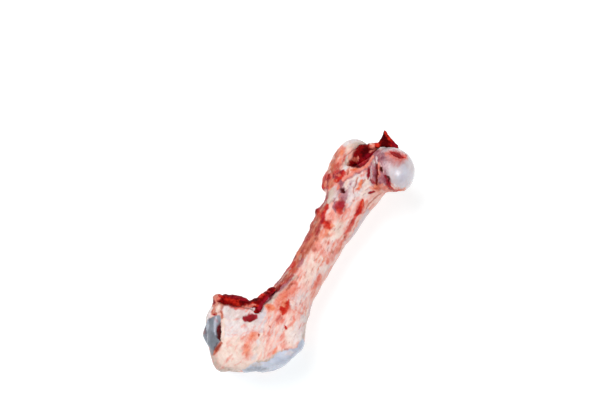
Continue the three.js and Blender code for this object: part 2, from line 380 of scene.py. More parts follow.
def mark(skin, tissue, half_width, path, space="pixels", height=0, strength=1, soft=0.6, taper=0.5, filled=False):
    """Lays one mark. The space is pixels of the view or points in millimetres. A filled mark covers what its
    closed outline holds, and its half width is that of its border."""
    path = np.array(path, dtype=float)
    places = skin[space]
    reach = 2 * half_width + 1
    near = ((places > path.min(axis=0) - reach) & (places < path.max(axis=0) + reach)).all(axis=1)
    spots = np.flatnonzero(near & (skin["seen"] > 0)) if space == "pixels" else np.flatnonzero(near)
    if not len(spots):
        return
    places = places[spots]
    if filled:
        away, along = distance_to_path(places, np.vstack([path, path[:1]]))
        away = np.where(inside_outline(places, path), -away, away)
        amount = 1 - smooth_step(-half_width, half_width, away)
    else:
        away, along = distance_to_path(places, path)
        width = half_width * (1 - taper * (2 * along - 1) ** 2 * (len(path) > 1))
        amount = 1 - smooth_step(1 - soft, 1 + soft, away / width)
    if space == "pixels":
        amount = amount * skin["seen"][spots]
    cover(skin, tissue, strength * amount, height, spots)


def paint(skin, marks):
    """Lays the marks of a list in order. Each is a tissue, a half width, pixels and any more settings."""
    for tissue, half_width, pixels, *more in marks:
        mark(skin, tissue, half_width, pixels, **(more[0] if more else {}))


def strands(skin, seed, count, tissues, path, spread, half_width, length, **settings):
    """Many short marks that run side by side along a path of pixels, each of a tissue picked by chance."""
    chance = random.Random(seed)
    knots = [Vector(pixel) for pixel in path]
    for _ in range(count):
        at = chance.uniform(0, len(knots) - 1.001)
        knot, after = knots[int(at):int(at) + 2]
        run = (after - knot).normalized()
        across = Vector((-run.y, run.x))
        start = knot.lerp(after, at % 1) + across * chance.uniform(-spread, spread)
        end = start + (run + across * chance.uniform(-0.15, 0.15)) * length * chance.uniform(0.4, 1.3)
        mark(skin, chance.choice(tissues), half_width * chance.uniform(0.6, 1.3), [start, end], **settings)


def mottle(skin, tissue, size, seed, strength, squeeze=0.4, rare=0.1):
    """Lays a tissue thinly in small blotches all over a skin, drawn out along the bone. Rare ones are small."""
    lumps = ripple(skin["points"] * (squeeze, 1, 1), size, seed)
    cover(skin, tissue, strength * smooth_step(rare, rare + 0.35, lumps))


def pull(skin, pulls):
    """Draws a skin along like a sculptor's hook: what lies near a path of pixels moves by a step in pixels."""
    for reach, path, (right, down) in pulls:
        away = distance_to_path(skin["pixels"], np.array(path, dtype=float))[0]
        hold = smooth_step(reach, 0, away)[:, None]
        skin["pixels"] += hold * (right, down)
        skin["points"] += hold * np.array(picture_right * right - picture_up * down) * (PIXEL_SIZE / MM)


def finish_skin(skin, material, low, high):
    """Raises the relief, keeps the skin between two corners and hands the tissues to the material."""
    points = skin["points"] + skin["normals"] * skin["height"][:, None]
    points = np.clip(points, np.array(low) / MM, np.array(high) / MM)
    mesh = skin["piece"].data
    mesh.vertices.foreach_set("co", (points * MM).ravel())
    for tissue, share in skin["shares"].items():
        layer = mesh.attributes.new(tissue, "FLOAT", "POINT")
        layer.data.foreach_set("value", share)
    mesh.update()
    mesh.materials.append(material)
    mesh.shade_smooth()


# %% [markdown]
# ## The bone's marks
# The marks go from broad to fine, region by region: first the pale sheets and stains, then streaks, slits and spots.
# Half widths are in pixels of the view, each 0.7 mm on the bone, and heights are in millimetres.

# %% List the marks of the hip end
HIP_SHEETS = [
    ("fat", 8, [(367, 145), (355, 147), (348, 154)], {"soft": 0.6}),
    ("silverskin", 2.2, [(345, 144), (350, 141), (357, 139.5), (363, 140), (369, 143)], {"taper": 0}),
    ("sinew", 3, [(350, 147), (354, 145), (362, 143), (368, 143)], {"soft": 0.8, "strength": 0.5}),
    ("sinew", 3.5, [(346, 152), (344, 159), (342, 164)], {"soft": 0.9, "strength": 0.6}),
    ("salmon", 5, [(351, 149), (350, 156), (347, 163)], {"soft": 0.8, "strength": 0.35}),
    ("silverskin", 2.5, [(345, 165), (346, 170)], {"soft": 0.7}),
    ("salmon", 5.5, [(341, 150), (336, 160), (333, 170)], {"soft": 0.5, "taper": 0.2}),
    # brown along the knob's left edge: partly brown tissue, partly painted shade where the knob turns from the light
    ("brown", 3.4, [(337, 151), (333, 158), (330, 166), (328, 175)], {"taper": 0.2}),
    ("orange", 3, [(342, 150), (341, 154)], {"soft": 0.9, "strength": 0.8}),
    ("brown", 4.5, [(337, 165), (333, 173)], {"soft": 0.7, "strength": 0.8}),
    ("sinew", 4.5, [(333, 190), (331, 196), (329, 202)], {"soft": 0.7}),
    ("silverskin", 3, [(338, 186), (337, 196), (336, 203)], {"soft": 0.7, "strength": 0.7}),
    ("purple", 8, [(377, 153), (373, 162), (374, 174), (379, 184)], {"soft": 0.5}),
    ("purple", 7, [(380, 154), (386, 155)], {"soft": 0.8, "strength": 0.8}),
    ("silverskin", 8, [(357, 178), (352, 188), (348, 199)], {"soft": 0.6}),
    ("silverskin", 7, [(363, 177), (366, 187), (358, 196)], {"soft": 0.6}),
    ("fat", 3.5, [(366, 180), (367, 190), (362, 196)], {"soft": 0.7, "strength": 0.8}),
    ("purple", 6, [(341, 183), (343, 192), (345, 199)], {"soft": 0.8, "strength": 0.8}),
    ("purple", 4, [(382, 173), (386, 183)], {"soft": 0.6}),
    ("orange", 5, [(373, 188), (381, 187)], {"soft": 0.8, "strength": 0.8}),
    ("salmon", 4, [(384, 188), (390, 190)], {"soft": 0.7}),
]
KNOB_MARKS = [
    ("orange", 1.8, [(342, 151), (341, 154)], {"height": 0.4}),
    ("raw", 2.5, [(338, 163), (335, 168)], {"soft": 0.9, "strength": 0.5}),
    ("raw", 5.8, [(343, 173), (339, 175), (336, 180)], {"height": 0.9, "soft": 0.4}),
    ("crimson", 2.6, [(344, 171), (341, 173), (336, 179)], {"soft": 0.8, "strength": 0.8}),
    ("crimson", 1.5, [(333.5, 175), (334, 180)], {"height": -0.4}),
    ("orange", 1.5, [(338, 175), (341, 176)], {"height": 0.5, "strength": 0.4}),
    ("orange", 1.3, [(336, 180), (337, 181)], {"strength": 0.4}),
    ("raw", 5.6, [(327, 178), (325.5, 185)], {"height": 0.9, "taper": 0.1, "soft": 0.4}),
    ("crimson", 2.6, [(327, 178), (326, 185)], {"soft": 0.9, "strength": 0.5}),
    ("orange", 1.6, [(327, 182), (326, 186)], {"strength": 0.7}),
    ("brown", 1.6, [(324, 176), (323, 185)], {"strength": 0.4}),
    ("meat", 1.1, [(330, 175), (329, 181), (329, 186)], {"strength": 0.7, "height": -0.4}),
    ("crimson", 1.3, [(328, 188), (327, 196), (324, 202)], {"strength": 0.7}),
    ("orange", 2.6, [(333, 180), (331, 187)], {"soft": 0.9, "strength": 0.8}),
    ("brown", 2, [(332, 180), (331, 187)], {"soft": 0.9, "strength": 0.6}),
]
PIT_MARKS = [
    ("brown", 2, [(355, 158), (350, 164), (348, 170)], {"soft": 0.9, "strength": 0.5}),
    ("meat", 1.2, [(360, 145), (367, 144), (373, 146), (372, 154), (369, 160), (365, 166), (358, 168), (350, 167),
                   (350, 160), (355, 160), (353, 155), (356, 151)], {"filled": True, "height": -0.4}),
    # almost black red in the pit: dark meat, partly painted shade in the hollow of the fossa
    ("dark", 4, [(366, 149), (364, 156)], {"soft": 0.6}),
    ("dark", 2, [(353, 165), (359, 166)], {"soft": 0.6}),
    ("crimson", 3.4, [(359, 163), (366, 160), (371, 153)], {"strength": 0.8, "soft": 0.7}),
    ("raw", 1.6, [(361, 162), (366, 160)], {"strength": 0.5, "soft": 0.8}),
    ("salmon", 1.3, [(358, 157), (358.5, 160)], {"strength": 0.8}),
    ("brown", 2, [(355, 158), (356.5, 161)], {"strength": 0.7, "soft": 0.8}),
    ("salmon", 1.2, [(376, 148.5), (372, 150.5), (369.5, 153)], {"height": 0.5}),
    ("salmon", 1.8, [(373, 157), (367, 166), (360, 170.5), (352, 173), (346, 178), (341, 183), (338, 189)],
     {"height": 0.8, "taper": 0.3}),
    ("purple", 1.2, [(367, 169), (357, 173.5), (352, 176), (346, 180), (342, 184)], {"height": -0.3, "strength": 0.6}),
    ("orange", 1.6, [(357, 169), (351, 170)], {"soft": 0.7}),
    ("brown", 1.2, [(349, 171), (347, 174)], {"strength": 0.7}),
]
NECK_MARKS = [
    ("silverskin", 1.4, [(375, 150), (380, 148), (388, 146.5), (397, 147), (401, 150)], {"height": 0.2}),
    ("sinew", 1.4, [(374, 160), (373, 164)], {"soft": 0.9, "strength": 0.6}),
    ("fat", 2.4, [(347, 181), (346, 186)], {"soft": 0.8, "height": 0.4}),
    ("purple", 2, [(352, 181), (351, 186)], {"soft": 0.9, "strength": 0.35, "height": 0.3}),
    ("salmon", 1.6, [(364, 173), (361, 177)], {"soft": 0.8, "strength": 0.6}),
    ("salmon", 1.5, [(379, 163), (379.5, 170), (377.5, 178)], {"height": 0.8, "taper": 0.2}),
    ("silverskin", 1.2, [(372, 166), (371, 172), (372, 179)], {"height": 0.7, "strength": 0.5}),
    # slits and the groove under the ball, pressed in and painted dark red: meat in the cuts, partly painted shade in
    # them
    ("meat", 1.7, [(376, 164), (375.5, 168), (377, 173), (376, 179), (376.5, 185)], {"height": -1.5}),
    ("dark", 1, [(376.5, 167), (377.5, 172), (376.5, 178)], {"height": -0.5, "strength": 0.4}),
    ("crimson", 1.3, [(369, 168), (368, 173), (367, 179)], {"height": -1}),
    ("dark", 1.6, [(381, 168), (382, 171.5)], {"height": -1.4}),
    ("crimson", 1.4, [(370, 180), (375, 184)], {"strength": 0.7}),
    ("crimson", 2.4, [(385, 176), (388, 180), (388.5, 185), (391, 189)], {"height": -1}),
    ("dark", 1.4, [(387, 177), (389, 180), (388.5, 183)], {"height": -0.6, "strength": 0.9}),
    ("raw", 1.3, [(390, 187.5), (395, 190), (400, 190.5)], {"height": 0.3}),
    ("orange", 1, [(400, 190.5), (405.5, 188.5)], {"height": 0.3}),
    ("raw", 2, [(375, 189), (380, 189)], {"soft": 0.8, "strength": 0.5}),
    ("salmon", 1.6, [(382, 184), (380, 187)], {"height": 0.3}),
    ("crimson", 1.5, [(369, 193), (374, 192)], {"soft": 0.6}),
    ("brown", 1, [(358, 178), (355, 186), (352.5, 193)], {"height": -0.6, "strength": 0.8}),
    # a thin grey line beside the crease: painted shade
    ("slate", 0.7, [(356, 183), (354, 190)], {"strength": 0.4}),
    ("orange", 2, [(362, 180), (360, 186), (358.5, 189)], {"soft": 0.7}),
    ("brown", 0.9, [(365, 179), (362, 185)], {"strength": 0.7}),
    ("brown", 0.9, [(382, 192.5), (376, 197), (370, 203), (366, 209)], {"strength": 0.6, "taper": 0.2}),
    ("purple", 1.6, [(341, 180), (342, 187)], {"height": -0.5}),
    # a small hole painted almost black: painted shade in the hole
    ("dark", 2.4, [(341.5, 189), (343.5, 191)], {"height": -1.6, "soft": 0.8}),
]

# %% List the marks of the shaft
SHAFT_SHEETS = [
    ("fat", 9, [(338, 226), (333, 238)], {"soft": 0.8}),
    ("fat", 9, [(322, 254), (312, 268), (305, 280)], {"soft": 0.8, "strength": 0.7}),
    ("sinew", 3.5, [(335, 213), (341, 222), (337, 232)], {"soft": 0.9, "strength": 0.4}),
    ("silverskin", 5, [(335, 240), (325, 262), (314, 284)], {"soft": 0.9, "strength": 0.5}),
    ("silverskin", 7, [(302, 292), (297, 304)], {"soft": 0.8, "strength": 0.6}),
    # a pale grey band along the shaft's right edge: partly silvery skin, partly painted shade where the shaft turns
    # from the light
    ("pearl", 2.2, [(368, 211), (359, 227), (351, 240), (342, 256), (333, 272), (323, 290), (313, 305), (306, 325)],
     {"soft": 0.9, "strength": 0.85, "taper": 0.1}),
    ("salmon", 3, [(361, 210), (353, 224), (343, 241), (332, 259)], {"soft": 0.8, "strength": 0.25}),
    ("salmon", 4, [(337, 241), (333, 252), (328, 263)], {"soft": 0.9, "strength": 0.5}),
    ("salmon", 5, [(333, 214), (330, 222)], {"soft": 0.8, "strength": 0.7}),
    ("orange", 7, [(328, 226), (323, 236)], {"soft": 0.9, "strength": 0.8}),
    ("salmon", 5, [(318, 240), (314, 250)], {"soft": 0.8, "strength": 0.7}),
    ("salmon", 3, [(323, 250), (324, 257)], {"soft": 0.9, "strength": 0.6}),
    ("salmon", 2.6, [(303, 304), (299, 309)], {"soft": 0.9, "strength": 0.6}),
    ("salmon", 1.6, [(305, 272), (304, 276)], {"soft": 0.9, "strength": 0.5}),
    ("purple", 7, [(345, 193), (342, 203)], {"soft": 0.9, "strength": 0.7}),
    ("salmon", 8, [(344, 203), (340, 214)], {"soft": 0.9, "strength": 0.8}),
    # brown strip along the caudal edge: partly meat and bone skin, partly painted shade on the face turned from the
    # light
    ("brown", 6.5, [(324, 205), (319, 216), (315, 226), (311, 237), (305, 247), (299, 257), (293, 266), (286, 276),
                    (279, 285)], {"soft": 0.4, "taper": 0.3, "height": 0.3}),
    ("crimson", 2.4, [(313, 222), (308, 236), (299, 251), (292, 262), (284, 274), (275, 286)],
     {"soft": 0.8, "strength": 0.45, "taper": 0.1}),
    ("crimson", 2.6, [(292, 276), (284, 283), (277, 290), (270, 297), (263, 303)],
     {"soft": 0.7, "taper": 0.2, "strength": 0.6}),
    ("sinew", 2, [(296, 277), (286, 287), (276, 296), (267, 304)], {"height": 0.5, "taper": 0.2}),
]
SHAFT_MARKS = [
    ("crimson", 6, [(342, 203), (338, 208)], {"soft": 0.8, "strength": 0.9}),
    ("crimson", 3.6, [(342, 204), (341, 208)]),
    ("raw", 3.8, [(338, 209), (341, 213)], {"soft": 0.8, "strength": 0.8}),
    ("purple", 1.8, [(335, 203), (334.5, 208), (335.5, 212)], {"strength": 0.9}),
    ("crimson", 1.4, [(336, 205), (336, 209)], {"soft": 0.8, "strength": 0.8}),
    ("raw", 3.5, [(362.5, 200), (361, 206), (356.5, 215)], {"soft": 0.5, "taper": 0.6, "height": 0.2}),
    ("orange", 1.2, [(363, 201), (362, 206)], {"soft": 0.8, "strength": 0.5}),
    ("crimson", 1.3, [(359, 208), (356, 214)], {"strength": 0.6}),
    ("raw", 2, [(355.5, 216), (352, 223), (348, 230), (345, 234)], {"soft": 0.8, "strength": 0.75, "taper": 0.2}),
    ("brown", 1, [(344.5, 236), (344, 238)], {"soft": 0.7}),
    ("salmon", 1.6, [(342, 240), (338, 248), (334, 255)], {"soft": 0.9, "strength": 0.5}),
    ("brown", 1.8, [(332, 250), (333, 253)], {"soft": 0.9, "strength": 0.6}),
    ("salmon", 2, [(328, 259), (327, 263)], {"soft": 0.7}),
    ("brown", 2.2, [(328, 234), (327, 238)], {"soft": 0.9, "strength": 0.6}),
    ("brown", 2, [(326, 241), (325, 243)], {"soft": 0.9, "strength": 0.4}),
    ("brown", 2.8, [(313, 249), (316, 249)], {"soft": 0.9, "strength": 0.6}),
    ("brown", 1.4, [(318, 237), (317, 241)], {"soft": 0.8, "strength": 0.7}),
    ("salmon", 2.8, [(320, 275), (318, 281), (314.5, 288)], {"soft": 0.8}),
    ("raw", 1.4, [(319.5, 276), (318, 281), (315, 288)], {"soft": 0.9, "strength": 0.35}),
    ("sinew", 1.4, [(326, 201), (323, 207)], {"soft": 0.6, "strength": 0.8}),
    ("crimson", 2.6, [(325, 199), (321.5, 205.5), (317, 210)], {"soft": 0.6, "taper": 0.2}),
    ("meat", 2.6, [(317, 210.5), (317.5, 214)], {"height": 0.6, "soft": 0.6}),
    ("raw", 1.8, [(320, 210), (318, 218)], {"soft": 0.8, "strength": 0.5}),
    ("crimson", 1.4, [(315, 215), (312.5, 221)], {"strength": 0.7}),
    ("raw", 2.2, [(327.5, 205), (325.5, 211)], {"strength": 0.9}),
    ("crimson", 1.3, [(327, 207), (325.5, 211)], {"soft": 0.8, "strength": 0.6}),
    ("raw", 2.8, [(324, 212), (322.5, 222)], {"taper": 0.3, "height": 0.2}),
    ("crimson", 1.8, [(324, 213), (322.5, 221)], {"soft": 0.8, "strength": 0.8}),
    ("raw", 4.2, [(325, 222), (328, 225), (330, 227)], {"soft": 0.9}),
    ("orange", 2.2, [(331, 226), (334, 226)], {"strength": 0.8, "soft": 0.8}),
    ("crimson", 1.8, [(322, 221), (319, 228), (316, 235)], {"taper": 0.3, "soft": 0.8, "strength": 0.7}),
    ("raw", 2, [(312, 234), (308, 240)], {"soft": 0.8, "strength": 0.45}),
    ("orange", 2, [(301, 252), (296, 260)], {"soft": 0.9, "strength": 0.5}),
    ("sinew", 1.4, [(301, 255), (300, 259)], {"soft": 0.8, "strength": 0.6}),
    ("sinew", 1.3, [(316, 221), (315, 225)], {"soft": 0.9, "strength": 0.4}),
    ("raw", 2.3, [(295, 262), (291, 268), (285, 274)], {"soft": 0.8, "strength": 0.8}),
    ("crimson", 1.4, [(290, 267), (283, 276), (276, 285)], {"soft": 0.8, "strength": 0.5}),
    ("purple", 2, [(303, 259), (298, 267)], {"soft": 0.8, "strength": 0.7}),
    ("meat", 1, [(296, 256), (290, 264), (284, 273), (278, 281), (272, 288)], {"strength": 0.6, "taper": 0.2}),
    ("sinew", 0.9, [(291, 269), (285, 276), (279, 283)], {"strength": 0.5, "height": 0.3}),
    ("raw", 2.2, [(298, 269.5), (294, 272)], {"soft": 0.9, "strength": 0.4}),
    ("meat", 1.3, [(281, 286), (276, 291), (271, 296)], {"taper": 0.2, "strength": 0.8, "height": -0.3}),
    ("purple", 1, [(292, 279), (283, 287), (274, 295), (266, 302)], {"taper": 0.2, "strength": 0.8}),
]

# %% List the marks of the knee end
KNEE_SHEETS = [
    ("fat", 1.5, [(220, 336), (240, 334), (262, 332), (268, 346), (262, 362), (243, 371), (216, 374), (212, 355)],
     {"filled": True, "height": 0.3}),
    ("silverskin", 1.5, [(222, 303), (236, 306), (250, 304), (264, 306), (268, 318), (262, 332), (240, 336),
                         (224, 338)], {"filled": True}),
    ("sinew", 7, [(229, 311), (240, 318), (262, 320)], {"soft": 0.9, "strength": 0.35}),
    ("cartilage", 4, [(262, 313), (262, 324)], {"soft": 0.9, "strength": 0.4}),
    ("fat", 9, [(294, 325), (292, 342)], {"soft": 0.7}),
    ("silverskin", 7, [(297, 324), (294, 342)], {"soft": 0.9, "strength": 0.6}),
    # grey-white band along the knee's right edge: partly silverskin, partly painted shade where the edge turns away
    ("silverskin", 5, [(304, 316), (303, 328), (300, 340)], {"soft": 0.8, "strength": 0.8}),
    ("sinew", 2, [(307, 316), (306, 328), (303, 338)], {"soft": 0.9, "strength": 0.7}),
    ("salmon", 5, [(294, 285), (288, 292), (279, 301)], {"soft": 0.5, "taper": 0.2}),
    ("salmon", 6, [(280, 302), (284, 310)], {"soft": 0.7}),
    ("salmon", 4, [(279, 316), (278, 323)], {"soft": 0.9, "strength": 0.6}),
    ("salmon", 6, [(255, 334), (247, 344), (246, 356)], {"soft": 0.8, "taper": 0.3, "strength": 0.7}),
    ("salmon", 2.4, [(216, 355), (218, 366), (228, 371)], {"soft": 0.9, "strength": 0.5}),
    # beige-brown along the knee's lower left edge: painted shade where the edge turns away
    ("sinew", 4, [(212, 352), (214, 362), (221, 370), (236, 372)], {"soft": 0.8, "strength": 0.7}),
    ("brown", 1.4, [(212, 354), (213, 362), (218, 369)], {"soft": 0.9, "strength": 0.4}),
]
KNEE_MARKS = [
    ("salmon", 0.8, [(226, 335), (240, 335), (249, 331), (256, 326)], {"height": 0.4, "strength": 0.4}),
    ("orange", 2.4, [(290, 288), (284, 295), (279, 301)], {"soft": 0.8, "strength": 0.5}),
    ("brown", 1.2, [(295, 284), (290, 285), (286, 290)], {"strength": 0.8}),
    ("orange", 5.5, [(285, 303), (283, 313)], {"soft": 0.9, "strength": 0.7}),
    ("raw", 2.6, [(288.5, 301), (287, 308), (283, 314)], {"soft": 0.8, "strength": 0.9}),
    ("raw", 2.8, [(281, 307), (283, 310)], {"soft": 0.5}),
    ("crimson", 1.2, [(281, 308), (283, 309)], {"strength": 0.5}),
    ("raw", 2, [(280, 315), (277, 321)], {"soft": 0.8, "strength": 0.6}),
    ("salmon", 1.4, [(294, 315), (293, 322), (288, 327)], {"soft": 0.7, "strength": 0.7}),
    ("orange", 3.6, [(267, 306), (274, 309)], {"soft": 0.8}),
    ("raw", 1, [(267, 306.5), (270, 308)], {"strength": 0.5}),
    ("raw", 1.5, [(285, 327), (286.5, 328.5)]),
    ("brown", 0.9, [(269, 326), (270, 327)], {"strength": 0.7}),
    ("salmon", 2, [(284, 333), (281, 340)], {"soft": 0.8, "strength": 0.7}),
    ("orange", 1.6, [(277, 348), (273, 354)], {"soft": 0.8, "strength": 0.6}),
    ("salmon", 1.2, [(275, 325), (268, 340), (264, 358)], {"soft": 0.8, "strength": 0.4}),
    ("silverskin", 2.6, [(258, 341), (258, 345)], {"soft": 0.8}),
    ("silverskin", 2.4, [(256, 355), (252, 360)], {"soft": 0.8, "strength": 0.8}),
    ("crimson", 3.7, [(245, 318.5), (250, 317.5), (255, 316.5)], {"height": -0.8, "soft": 0.35, "taper": 0.3}),
    ("meat", 2.6, [(247, 318), (254, 317)], {"strength": 0.5, "soft": 0.8}),
    ("meat", 1.2, [(245, 319), (251, 320.5), (256, 317)], {"strength": 0.6}),
    ("salmon", 2, [(241, 327), (246, 326)], {"soft": 0.9, "strength": 0.5}),
    ("raw", 2, [(222, 303), (229, 304), (235, 308), (240, 308), (246, 306), (254, 304)],
     {"taper": 0.2, "strength": 0.8, "soft": 0.7}),
    ("salmon", 2, [(240, 309), (248, 307), (255, 306)], {"soft": 0.9, "strength": 0.6}),
    ("crimson", 1.9, [(264, 302), (260, 306), (257.5, 310)]),
    ("brown", 1, [(213, 294), (226, 294), (226, 304), (222, 312), (212, 315), (209, 308)],
     {"filled": True, "strength": 0.7}),
    ("fat", 3.4, [(219, 307), (217, 311)], {"soft": 0.8, "strength": 0.8, "height": 0.3}),
    ("salmon", 2.6, [(216, 298), (219, 302)], {"soft": 0.8, "strength": 0.7}),
    ("raw", 1.6, [(219, 296), (223, 296.5)], {"strength": 0.9}),
    ("raw", 1.5, [(221, 301), (224, 302.5)], {"strength": 0.9}),
    ("crimson", 2, [(214, 300.5), (213.5, 304)]),
    ("silverskin", 1.8, [(211, 308), (208.5, 314), (207, 320)], {"taper": 0.1}),
    ("sinew", 0.8, [(213, 299), (209, 309), (206, 319), (205, 324)], {"taper": 0.1}),
    # the roller's cartilage strip, painted grey: painted shade
    ("slate", 0.9, [(209, 318), (220, 315), (222, 319), (219, 324), (217, 332), (220, 341), (219, 346),
                    (214, 351), (209, 348), (206, 338), (205, 325)], {"filled": True}),
    # lighter streaks along the roller: painted reflections
    ("cartilage", 2, [(216, 318), (215.5, 326), (215, 334)], {"soft": 0.8, "strength": 0.6}),
    ("cartilage", 1.4, [(208, 321), (207.5, 330)], {"soft": 0.8, "strength": 0.5}),
    ("purple", 1.4, [(215, 319), (218, 322)], {"soft": 0.9, "strength": 0.5}),
    # a faint dark band along the roller: painted shade
    ("dark", 1.4, [(211, 331), (212, 342)], {"soft": 0.9, "strength": 0.2}),
    ("brown", 1.6, [(213, 313), (216, 315)], {"height": -0.5}),
    ("crimson", 0.8, [(213, 314), (215, 315.5)]),
    ("brown", 1.1, [(221, 311), (222, 315), (223.5, 320)], {"height": -0.6}),
    ("fat", 1.8, [(224.5, 319), (223, 328), (223, 338)], {"height": 0.7, "taper": 0.2, "soft": 0.3}),
    # the crescent hole painted almost black: dark red tissue, partly painted shade in the hole
    ("dark", 0.7, [(220, 322), (217.5, 326), (216.3, 332), (217.5, 338), (220.5, 341), (221, 332)],
     {"filled": True, "height": -1.6}),
    ("crimson", 0.9, [(218.5, 325), (217.5, 330)], {"strength": 0.25}),
    ("brown", 2.2, [(221, 343), (217, 350), (214, 354)], {"soft": 0.6, "height": 0.3, "taper": 0.3}),
    ("meat", 2, [(220, 345), (216, 350)], {"soft": 0.9, "strength": 0.5}),
    # dark and grey under the roller's lower end: painted shade
    ("dark", 0.9, [(217, 342), (215, 348), (213, 353)], {"strength": 0.6}),
    ("slate", 1.4, [(211, 348), (213, 355)], {"soft": 0.6, "strength": 0.7}),
    # the far roller, which lies in shadow, painted grey and dark: painted shade
    ("slate", 3.6, [(203, 326), (204, 333), (205, 340)], {"soft": 0.4, "taper": 0.1}),
    ("brown", 2.6, [(203, 327), (204, 334)], {"soft": 0.7, "strength": 0.3}),
    ("dark", 1.2, [(206, 327), (206.5, 337)], {"soft": 0.8, "strength": 0.35}),
    ("orange", 4, [(255, 334), (250, 338)], {"soft": 0.9, "strength": 0.65}),
    ("orange", 3.4, [(247, 343), (246, 355)], {"soft": 0.9, "strength": 0.6}),
    ("brown", 1.1, [(258.5, 334.5), (258.5, 336.5)], {"soft": 0.6}),
    ("cartilage", 0.9, [(243, 370), (250, 365), (256, 361.5), (266, 361), (273, 357.5), (278, 352.5), (284, 350),
                        (291, 349), (297, 347), (303, 338), (306, 345), (300, 362), (280, 376), (243, 380)],
     {"filled": True}),
    # the pulley's lower edge, painted grey: painted shade where it turns down
    ("slate", 3, [(246, 370), (256, 369), (268, 369)], {"soft": 0.9, "strength": 0.5}),
    ("sinew", 2, [(252, 365), (262, 364)], {"soft": 0.9, "strength": 0.5}),
    ("silverskin", 2.6, [(286, 354), (293, 353)], {"soft": 0.9, "strength": 0.6}),
    ("brown", 1.3, [(285, 349), (288, 350)], {"strength": 0.6, "soft": 0.8}),
    ("sinew", 0.8, [(256, 361), (266, 360.5), (272, 357.5), (278, 352), (284, 350)], {"height": 0.4}),
]

# %% [markdown]
# ## Fibres
# Between the marks, the skin of the bone is full of fine fibres: they run along the shaft, fan out over the knee and
# lie in folds on the neck. Marking each one by hand would be endless, so they are laid in bundles along a path.

# %% List the bundles of fibres
BUNDLES = [
    # seed, count, tissues, path, spread, half width, length, settings
    (1, 150, ["salmon", "silverskin", "fat", "bone", "salmon", "orange"],
     [(352, 205), (336, 234), (320, 262), (300, 300), (292, 320)], 15, 0.9, 9, {"strength": 0.5, "height": 0.12}),
    (2, 60, ["crimson", "brown", "salmon", "brown", "meat", "orange"],
     [(322, 204), (314, 222), (307, 240), (296, 259), (284, 275), (276, 286)], 4, 0.8, 6,
     {"strength": 0.55, "height": 0.2}),
    (3, 50, ["silverskin", "silverskin", "fat", "salmon", "purple"],
     [(372, 176), (362, 182), (350, 192), (342, 204)], 11, 0.8, 7, {"strength": 0.6, "height": 0.35}),
    (4, 30, ["purple", "silverskin", "crimson", "salmon", "purple"],
     [(373, 156), (374, 168), (377, 182)], 6, 0.7, 6, {"strength": 0.5, "height": 0.3}),
    (5, 70, ["silverskin", "salmon", "fat", "bone", "salmon"],
     [(290, 305), (276, 330), (264, 362)], 15, 0.9, 9, {"strength": 0.5, "height": 0.2}),
    (6, 50, ["silverskin", "fat", "salmon", "silverskin"],
     [(262, 312), (244, 324), (226, 330)], 11, 1, 8, {"strength": 0.5, "height": 0.2}),
    (7, 60, ["fat", "salmon", "bone", "sinew", "fat"],
     [(252, 336), (236, 350), (222, 366)], 13, 1.1, 7, {"strength": 0.5, "height": 0.2}),
    (9, 70, ["crimson", "brown", "raw", "purple"],
     [(350, 210), (334, 238), (316, 270), (298, 302), (284, 330), (262, 358)], 14, 0.5, 6, {"strength": 0.4}),
    (8, 40, ["orange", "salmon", "fat", "raw", "brown"],
     [(344, 150), (337, 162), (333, 174)], 6, 1, 5, {"strength": 0.5, "height": 0.3}),
]

# %% [markdown]
# ## Sides that the view doesn't show
# The outer side and the ends are finished in the same way as what shows: cartilage by a rule on the rollers and
# the pulley, and marks of the same tissues along the bone, drawn by chance with a fixed seed.

# %% Paint the bone
KNEE_MIDDLE = np.array((-77, 7))
HIDDEN_MARKS = 130
HIDDEN_TISSUES = ["salmon", "orange", "silverskin", "sinew", "fat", "raw", "brown", "purple", "salmon", "silverskin"]


def joint_cartilage(skin):
    """The bluish cover of the knee's rollers and pulley: the faces that look away from the middle of the knee."""
    points, normals = skin["points"], skin["normals"]
    outward = points[:, :2] - KNEE_MIDDLE
    reach = np.linalg.norm(outward, axis=1)
    facing = np.einsum("ij,ij->i", outward, normals[:, :2]) / np.maximum(reach, 1)
    frayed = 0.1 * ripple(points, 3, 9)
    off_shaft = smooth_step(-62, -68, points[:, 0] - 0.35 * np.abs(points[:, 1] - 7))
    low = smooth_step(36, 31, points[:, 2] + 20 * frayed)
    cover(skin, "cartilage", smooth_step(0.45, 0.6, facing + frayed) * off_shaft * low, 0.2)


def hidden_marks(skin, seed):
    chance = random.Random(seed)
    below = np.flatnonzero((skin["seen"] < 0.5) & (skin["shares"]["cartilage"] < 0.1))
    for _ in range(HIDDEN_MARKS):
        start = skin["points"][chance.choice(below)]
        run = np.array((chance.uniform(-14, 14), chance.uniform(-3, 3), 0))
        end = np.array(skin["tree"].find_nearest(Vector(start + run) * MM)[0]) / MM
        mark(skin, chance.choice(HIDDEN_TISSUES), chance.uniform(0.8, 3.5), [start, end], space="points",
             soft=0.8, strength=chance.uniform(0.4, 0.9), height=chance.uniform(-0.2, 0.3))


